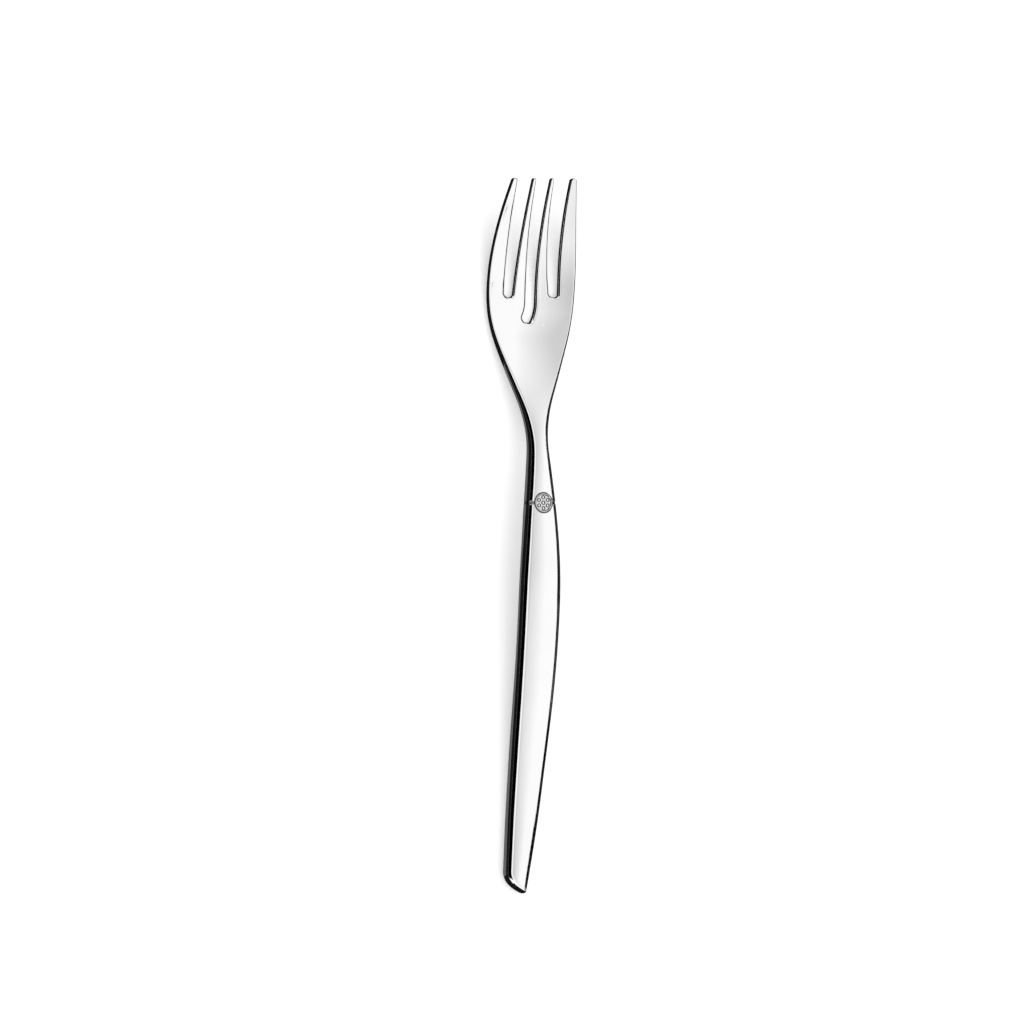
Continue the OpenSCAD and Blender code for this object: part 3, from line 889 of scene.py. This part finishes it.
def drawn_steel(name, finish):
    """The pin: drawn wire with fine rings from its cutting."""
    ring_scale, ring_level = 4000.0, 0.8
    smoothest, ring_share = 0.3, 0.1
    material, tree, place = new_material(name)
    rings = tree.node(
        "ShaderNodeTexWave", {"bands_direction": "Z"}, {"Vector": place, "Scale": ring_scale}, 1
    )
    shade = rings.blend(tone(finish.drawn, ring_level), tone(finish.drawn))
    metal(tree, shade, rings * ring_share + smoothest, {})
    return material


def fit_and_polish(scene, form, body, grow, operation):
    """Joins the tang or cuts its socket, cuts the medallion's seat and makes the steel."""
    combine(body, tang_tool(form, grow), operation)
    combine(body, seat_tool(form, scene.medallion_sizes), "DIFFERENCE")
    crisp(body, 32)
    return polished_steel(f"polished {body.name} steel", scene.fork_finish, form.joint_y * MM)


class FORK_OT_head(bpy.types.Operator):
    """Build the head with its four tines, its palm and its tang"""

    bl_idname = "fork.head"
    bl_label = "Head"

    def execute(self, context):
        scene = context.scene
        form = ForkForm(scene.fork_sizes)
        head = solid("head", *plate(form, *form.head_plan(), cells=10, edge_steps=10))
        steel = fit_and_polish(scene, form, head, 0, "UNION")
        finish_piece(head, "fork_head", steel)
        return {"FINISHED"}


class FORK_OT_handle(bpy.types.Operator):
    """Build the solid handle with its socket"""

    bl_idname = "fork.handle"
    bl_label = "Handle"

    def execute(self, context):
        scene = context.scene
        form = ForkForm(scene.fork_sizes)
        handle = solid("handle", *plate(form, *form.handle_plan(), cells=28, edge_steps=12))
        steel = fit_and_polish(scene, form, handle, form.tang_clearance, "DIFFERENCE")
        finish_piece(handle, "handle", steel)
        return {"FINISHED"}


class FORK_OT_medallion(bpy.types.Operator):
    """Build the medallion with its rosette, and finish the pin below it"""

    bl_idname = "fork.medallion"
    bl_label = "Medallion and pin"

    def execute(self, context):
        scene = context.scene
        medal = scene.medallion_sizes
        finish = scene.fork_finish
        form = ForkForm(scene.fork_sizes)
        seat = form.seat(medal.diameter / MM)
        segments, rings, turn_steps = 240, 60, 6
        radius, height = medal.diameter / 2 / MM, medal.height / MM
        bevel, field = medal.bevel / MM, (medal.diameter / 2 - medal.rim_width) / MM
        floor = -medal.field_depth / MM
        petal_height = medal.petal_height / MM
        domes = [(0, 0, medal.button_radius / MM)]
        ring = (medal.button_radius / MM + field) / 2
        for i in range(medal.petals):
            a = 2 * math.pi * i / medal.petals + math.pi / 2
            domes.append((ring * math.cos(a), ring * math.sin(a), medal.petal_radius / MM))

        def relief(x, y):
            """Height of the rosette above the field."""
            top = 0
            for dx, dy, r in domes:
                ball = (r * r + petal_height**2) / (2 * petal_height)
                away = (x - dx) ** 2 + (y - dy) ** 2
                if away < r * r:
                    top = max(top, math.sqrt(ball * ball - away) - ball + petal_height)
            return top

        profile = [(0, -height, False), (radius, -height, False)]
        for i in range(turn_steps + 1):
            a = math.pi / 2 * i / turn_steps
            r = radius - bevel * (1 - math.cos(a))
            profile.append((r, -bevel * (1 - math.sin(a)), False))
        profile += [(field, 0, False), (field - bevel, floor, False)]
        profile += [((field - bevel) * (1 - i / rings), floor, True) for i in range(1, rings + 1)]
        medallion = solid("medallion_rosette", *lathe(profile, segments, seat, relief))
        crisp(medallion, 28)
        coined = coined_steel("coined steel", finish, medal, seat)
        finish_piece(medallion, "medallion", coined)
        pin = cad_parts["locking_pin"]
        pin.data.materials.clear()
        pin.data.materials.append(drawn_steel("drawn steel", finish))
        return {"FINISHED"}


def sheet(name, points, faces, material, mirrored_only=True):
    """A sheet of the studio, out of the object. Where it is mirrored only, nothing but the
    steel sees it."""
    made = solid(name, points, faces, False)
    made.data.materials.append(material)
    if mirrored_only:
        for ray in ("camera", "diffuse", "shadow", "transmission", "volume_scatter"):
            setattr(made, f"visible_{ray}", False)


def glow(name, value):
    """A material of even grey light, or black."""
    material = bpy.data.materials.new(name)
    light(new_tree(material), tone((value,) * 3))
    return material


def floor_material(studio):
    """Matt white floor. Close to the fork the steel sees it dark."""
    dark_to, bright_from = 0.4, 1.2
    paper_grey, dark_grey = 0.8, 0.012
    material, tree, place = new_material("studio floor")
    seen = tree.node("ShaderNodeLightPath", {}, {}, "Is Camera Ray")
    reflected = tree.node("ShaderNodeLightPath", {}, {}, "Is Glossy Ray")
    away = tree.node("ShaderNodeVectorMath", {"operation": "LENGTH"}, {0: place}, "Value")
    near = 1 - away.between(dark_to, bright_from)
    paper = seen.blend(tone((paper_grey,) * 3), tone((studio.floor,) * 3))
    shade = (reflected * near).blend(paper, tone((dark_grey,) * 3))
    matt = tree.node("ShaderNodeBsdfDiffuse", {}, {"Color": shade})
    lit = tree.node("ShaderNodeEmission", {}, {"Color": tone((1, 1, 1)), "Strength": 1.0})
    mixed = {0: seen * studio.floor_glow, 1: matt, 2: lit}
    surface = tree.node("ShaderNodeMixShader", {}, mixed)
    tree.node("ShaderNodeOutputMaterial", {}, {"Surface": surface})
    return material


def ceiling_material(name, height):
    """The lit ceiling, dimmer overhead than on both sides. The dim part is wider over the
    tines and weaker over both ends of the fork."""
    left, right, wider_right = (-10, 2), (11, 26), 7
    tine_end, handle_end, beyond = (8, 24), (-24, -6), (4, 16)
    handle_share, beyond_share, dim_grey = 0.35, 0.15, 0.58
    material, tree, place = new_material(name)
    across = tree.node("ShaderNodeSeparateXYZ", {}, {"Vector": place}, "X")
    along = tree.node("ShaderNodeSeparateXYZ", {}, {"Vector": place}, "Y")

    def at(degrees):
        return height * math.tan(math.radians(degrees))

    def ramp(axis, angles):
        """0 before the first of two angles from straight overhead and 1 after the second."""
        return axis.between(*(at(degrees) for degrees in angles))

    shift = ramp(along, tine_end) * (at(right[1] + wider_right) - at(right[1]))
    dim = (1 - ramp(across - shift, right)) * ramp(across, left)
    dim = dim * (ramp(along, handle_end) * (1 - handle_share) + handle_share)
    dim = dim * (1 - ramp(along, beyond) * beyond_share)
    light(tree, dim.blend(tone((1, 1, 1)), tone((dim_grey,) * 3)))
    return material


class FORK_OT_studio(bpy.types.Operator):
    """Make the floor, the cards, the light and the camera"""

    bl_idname = "fork.studio"
    bl_label = "Studio"

    FLOOR_REACH = 3.0
    # Long cards beside the fork: their grey, two angles from straight overhead in degrees, and
    # where they start and end along the fork. Sizes here are in metres.
    CARDS = {
        "dark_card_left": (0.0, -29, -84, -0.95, 1.0),
        "grey_card_left": (0.04, -84, -90, -0.95, 1.0),
        "dark_card_right": (0.0, 41, 84, -0.24, 1.0),
        "grey_card_right": (0.18, 84, 90, -0.24, 1.0),
        "dark_card_neck": (0.0, 34, 41, 0.35, 1.0),
        "dark_card_tines": (0.0, 52, 90, -0.95, -0.24),
    }
    CARD_DISTANCE = 1.5
    # Low cards across both ends: where they stand, half their width, their height and grey.
    END_CARDS = {"dark_card_far": 1.5, "dark_card_close": -1.5}
    END_CARD_HALF = 0.9
    END_CARD_HEIGHT = 0.5
    END_CARD_GREY = 0.001
    CEILING_HEIGHT = 0.6
    CEILING_ANGLES = (-23, 40)
    LAMP_SIZE = 1.1
    LAMP_DISTANCE = 1.0
    # The middle of the picture, to the right of the frame's origin and up from it.
    AIM = (-3.22 * MM, 5.04 * MM)

    def execute(self, context):
        scene = context.scene
        self.sheets(ForkForm(scene.fork_sizes), scene.fork_studio)
        self.lights(scene, scene.fork_studio)
        self.camera(scene, scene.fork_studio)
        return {"FINISHED"}

    def sheets(self, form, studio):
        """The floor and what the steel mirrors."""
        one_face = [[0, 1, 2, 3]]

        def level(left, right, reach, z):
            return [(left, -reach, z), (right, -reach, z), (right, reach, z), (left, reach, z)]

        reach = self.FLOOR_REACH
        sheet("floor", level(-reach, reach, reach, 0), one_face, floor_material(studio), False)
        for name, (grey, low, high, start, end) in self.CARDS.items():
            sides = [
                (self.CARD_DISTANCE * math.sin(a), self.CARD_DISTANCE * math.cos(a))
                for a in (math.radians(low), math.radians(high))
            ]
            corners = [(x, start, z) for x, z in sides] + [(x, end, z) for x, z in sides[::-1]]
            sheet(name, corners, one_face, glow(name, grey))
        for name, y in self.END_CARDS.items():
            half, top = self.END_CARD_HALF, self.END_CARD_HEIGHT
            corners = [(-half, y, 0), (half, y, 0), (half, y, top), (-half, y, top)]
            sheet(name, corners, one_face, glow(name, self.END_CARD_GREY))
        height = self.CEILING_HEIGHT
        left, right = (height * math.tan(math.radians(a)) for a in self.CEILING_ANGLES)
        ceiling = ceiling_material("lit ceiling", height)
        sheet("ceiling", level(left, right, height, height), one_face, ceiling)
        self.floor_shade_strip(form)

    def floor_shade_strip(self, form):
        """A grey strip beside the fork, which its left flank mirrors, in millimetres: painted
        shade that stands for the floor in the fork's shadow.
        """
        clear_of_end, past_joint, rows = 1.5, 28, 70
        inner, outer, height, grey = 0.1, 3.6, 0.03, 0.13
        points = []
        for y in steps(form.end_y + clear_of_end, form.joint_y + past_joint, rows):
            edge = float(form.middle(y)) - float(form.half(y))
            points += [((edge - gap) * MM, y * MM, height * MM) for gap in (inner, outer)]
        faces = [[2 * i, 2 * i + 2, 2 * i + 3, 2 * i + 1] for i in range(rows - 1)]
        # Painted shade: seen only in the steel, as the floor in the fork's shadow.
        sheet("floor_shade_strip", points, faces, glow("painted floor shade", grey))

    def lights(self, scene, studio):
        """Even light from all sides, and a broad lamp overhead."""
        world = bpy.data.worlds.new("studio")
        scene.world = world
        tree = new_tree(world)
        camera_ray = tree.node("ShaderNodeLightPath", {}, {}, "Is Camera Ray")
        glossy_ray = tree.node("ShaderNodeLightPath", {}, {}, "Is Glossy Ray")
        strength = (camera_ray + glossy_ray) * (1 - studio.dome) + studio.dome
        even = tree.node(
            "ShaderNodeBackground", {}, {"Color": tone((1, 1, 1)), "Strength": strength}
        )
        tree.node("ShaderNodeOutputWorld", {}, {"Surface": even})

        data = bpy.data.lights.new("broad_lamp", "AREA")
        data.shape = "RECTANGLE"
        data.size = self.LAMP_SIZE
        data.size_y = self.LAMP_SIZE
        data.energy = studio.key
        lamp = bpy.data.objects.new("broad_lamp", data)
        a = studio.key_angle
        lamp.location = (self.LAMP_DISTANCE * math.sin(a), 0, self.LAMP_DISTANCE * math.cos(a))
        lamp.rotation_euler = (0, a, 0)
        lamp.visible_glossy = False
        scene.collection.objects.link(lamp)

    def camera(self, scene, studio):
        """A long lens, tilted to the left of straight overhead."""
        data = bpy.data.cameras.new("camera")
        data.lens = studio.lens
        data.sensor_width = 36
        data.clip_end = 50
        camera = bpy.data.objects.new("camera", data)
        scene.collection.objects.link(camera)
        a = studio.view_angle
        right, up = Vector((math.cos(a), 0, math.sin(a))), Vector((0, 1, 0))
        back = right.cross(up)
        away = studio.view_width * studio.lens / data.sensor_width
        target = right * self.AIM[0] + up * self.AIM[1]
        turn = Matrix((right, up, back)).transposed().to_4x4()
        camera.matrix_world = Matrix.Translation(target + back * away) @ turn
        scene.camera = camera
        scene.view_settings.view_transform = "Standard"


class FORK_PT_panel(bpy.types.Panel):
    """Lists the fork's pieces and their sizes"""

    bl_label = "Pastry fork"
    bl_idname = "FORK_PT_panel"
    bl_space_type = "VIEW_3D"
    bl_region_type = "UI"
    bl_category = "Pastry fork"

    def draw(self, context):
        layout = self.layout
        for operator in OPERATORS:
            layout.operator(operator.bl_idname)
        for name, group in GROUPS.items():
            box = layout.box()
            for key in group.__annotations__:
                box.prop(getattr(context.scene, name), key)


OPERATORS = (FORK_OT_head, FORK_OT_handle, FORK_OT_medallion, FORK_OT_studio)
GROUPS = {
    "fork_sizes": ForkSizes,
    "medallion_sizes": MedallionSizes,
    "fork_finish": FinishSettings,
    "fork_studio": StudioSettings,
}


def register():
    for made in (*GROUPS.values(), *OPERATORS, FORK_PT_panel):
        bpy.utils.register_class(made)
    for name, group in GROUPS.items():
        setattr(bpy.types.Scene, name, bpy.props.PointerProperty(type=group))


def unregister():
    for name in GROUPS:
        delattr(bpy.types.Scene, name)
    for made in (FORK_PT_panel, *reversed(OPERATORS), *reversed(GROUPS.values())):
        bpy.utils.unregister_class(made)


def main():
    register()
    bpy.ops.fork.head()
    bpy.ops.fork.handle()
    bpy.ops.fork.medallion()
    bpy.ops.fork.studio()
    bpy.context.view_layer.update()


if __name__ == "__main__":
    main()
